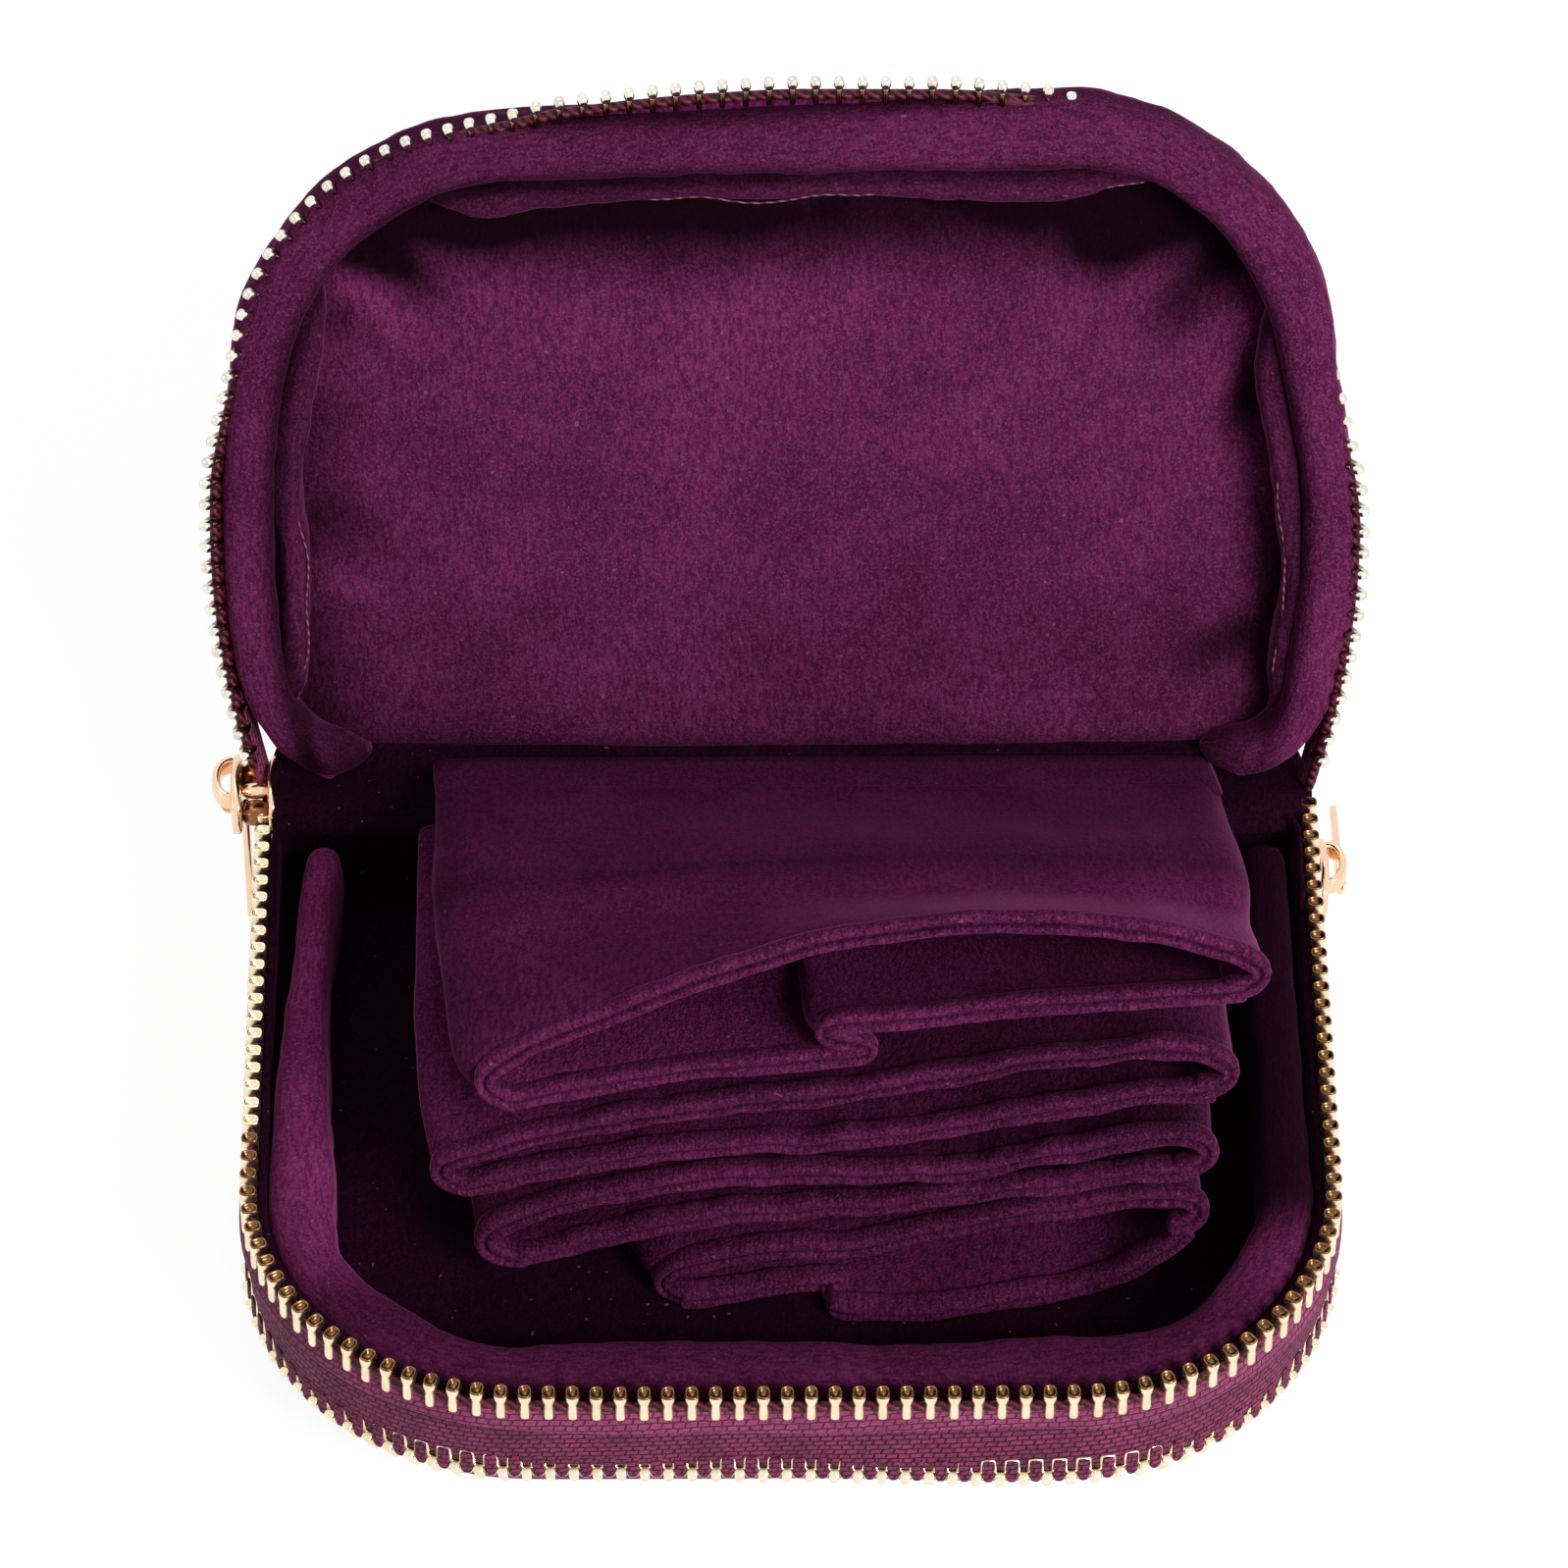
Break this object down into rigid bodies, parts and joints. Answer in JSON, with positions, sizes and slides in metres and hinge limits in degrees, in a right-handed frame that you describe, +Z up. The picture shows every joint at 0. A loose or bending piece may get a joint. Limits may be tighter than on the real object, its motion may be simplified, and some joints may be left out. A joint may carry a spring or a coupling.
{
  "type": "travel jewelry pouch",
  "caption": "Travel jewelry pouch in velvet with a hinged lid, a tray holding a fan of soft pockets, a zipped lower compartment and two metal zips.",
  "frame": {"origin": "middle of the case's width and depth, on the flat underside of the base", "axes": "+Z up, -Y towards the front that opens, +X to the right seen from the front"},
  "size_m": [0.1294, 0.1263, 0.104],
  "materials": {
    "velvet": "plum velvet pile",
    "lining": "plum velvet pile",
    "tape": "woven zip tape",
    "board": "plain",
    "foam": "open foam wadding",
    "zip_metal": "polished pale gold",
    "slider_metal": "polished rose gold"
  },
  "bodies": {
    "base": {"base_shell": "velvet", "base_board": "board", "base_lining": "lining", "base_hinge_band": "velvet", "base_zip": "zip_metal", "base_zip_right_run": "zip_metal"},
    "tray": {"tray_wall": "tape", "tray_rim_roll": "velvet", "tray_floor_board": "board", "tray_floor_lining": "lining", "tray_hinge_band": "velvet", "tray_lower_zip": "zip_metal", "tray_lower_zip_right_run": "zip_metal", "tray_upper_zip": "zip_metal", "tray_upper_zip_left_run": "zip_metal", "pocket_spine": "velvet", "pocket_4_lower": "velvet"},
    "lid": {"lid_shell": "velvet", "lid_board": "board", "lid_foam": "foam", "lid_lining": "lining", "lid_rim_roll": "velvet", "lid_seam_ridge": "lining", "lid_hinge_band": "velvet", "lid_zip": "zip_metal", "lid_zip_left_run": "zip_metal"},
    "pocket_4_top": {"pocket_4_upper": "velvet"},
    "pocket_3_bottom": {"pocket_3_lower": "velvet"},
    "pocket_3_top": {"pocket_3_upper": "velvet"},
    "pocket_2_bottom": {"pocket_2_lower": "velvet"},
    "pocket_2_top": {"pocket_2_upper": "velvet"},
    "pocket_1_bottom": {"pocket_1_lower": "velvet"},
    "pocket_1_top": {"pocket_1_upper": "velvet"},
    "upper_slider": {"upper_slider": "slider_metal"},
    "upper_pull": {"upper_pull_ring": "slider_metal", "upper_pull_tab": "slider_metal"},
    "lower_slider": {"lower_slider": "slider_metal"},
    "lower_pull": {"lower_pull_ring": "slider_metal", "lower_pull_tab": "slider_metal"}
  },
  "joints": [
    {"name": "tray_hinge", "type": "hinge", "parent": "base", "child": "tray", "pos_m": [0, 0.0415, 0.0123], "axis": [-1, 0, 0], "range_deg": [0, 100]},
    {"name": "lid_hinge", "type": "hinge", "parent": "tray", "child": "lid", "pos_m": [0, 0.0415, 0.026], "axis": [-1, 0, 0], "range_deg": [-112, 20]},
    {"name": "pocket_4_open", "type": "hinge", "parent": "tray", "child": "pocket_4_top", "pos_m": [0, 0.0366, 0.0186], "axis": [-1, 0, 0], "range_deg": [-5.01, 0.91]},
    {"name": "pocket_3_lift", "type": "hinge", "parent": "pocket_4_top", "child": "pocket_3_bottom", "pos_m": [0, 0.03679, 0.02074], "axis": [-1, 0, 0], "range_deg": [-3.01, 0.55]},
    {"name": "pocket_3_open", "type": "hinge", "parent": "pocket_3_bottom", "child": "pocket_3_top", "pos_m": [0, 0.03709, 0.02287], "axis": [-1, 0, 0], "range_deg": [-2.51, 0.46]},
    {"name": "pocket_2_lift", "type": "hinge", "parent": "pocket_3_top", "child": "pocket_2_bottom", "pos_m": [0, 0.03748, 0.02498], "axis": [-1, 0, 0], "range_deg": [-3.51, 0.64]},
    {"name": "pocket_2_open", "type": "hinge", "parent": "pocket_2_bottom", "child": "pocket_2_top", "pos_m": [0, 0.038, 0.02707], "axis": [-1, 0, 0], "range_deg": [-4.01, 0.73]},
    {"name": "pocket_1_lift", "type": "hinge", "parent": "pocket_2_top", "child": "pocket_1_bottom", "pos_m": [0, 0.03866, 0.02912], "axis": [-1, 0, 0], "range_deg": [-4.51, 0.82]},
    {"name": "pocket_1_open", "type": "hinge", "parent": "pocket_1_bottom", "child": "pocket_1_top", "pos_m": [0, 0.03949, 0.0311], "axis": [-1, 0, 0], "range_deg": [-6.51, 1.18]},
    {"name": "upper_slide", "type": "slide", "parent": "tray", "child": "upper_slider", "axis": [0, -1, 0], "range_m": [0, 0.04], "deforming": ["tray_upper_zip_left_run", "lid_zip_left_run"]},
    {"name": "upper_pull_swing", "type": "hinge", "parent": "upper_slider", "child": "upper_pull", "pos_m": [-0.06305, 0.0432, 0.026], "axis": [0, 1, 0], "range_deg": [0, 115]},
    {"name": "lower_slide", "type": "slide", "parent": "base", "child": "lower_slider", "axis": [0, -1, 0], "range_m": [0, 0.04], "deforming": ["base_zip_right_run", "tray_lower_zip_right_run"]},
    {"name": "lower_pull_swing", "type": "hinge", "parent": "lower_slider", "child": "lower_pull", "pos_m": [0.06305, 0.0432, 0.0123], "axis": [0, -1, 0], "range_deg": [-8, 110]}
  ],
  "couplings": [
    {"joint": "pocket_4_open", "follows": "lid_hinge", "ratio": 0.044643},
    {"joint": "pocket_3_lift", "follows": "lid_hinge", "ratio": 0.026786},
    {"joint": "pocket_3_open", "follows": "lid_hinge", "ratio": 0.022321},
    {"joint": "pocket_2_lift", "follows": "lid_hinge", "ratio": 0.03125},
    {"joint": "pocket_2_open", "follows": "lid_hinge", "ratio": 0.035714},
    {"joint": "pocket_1_lift", "follows": "lid_hinge", "ratio": 0.040179},
    {"joint": "pocket_1_open", "follows": "lid_hinge", "ratio": 0.058036}
  ]
}
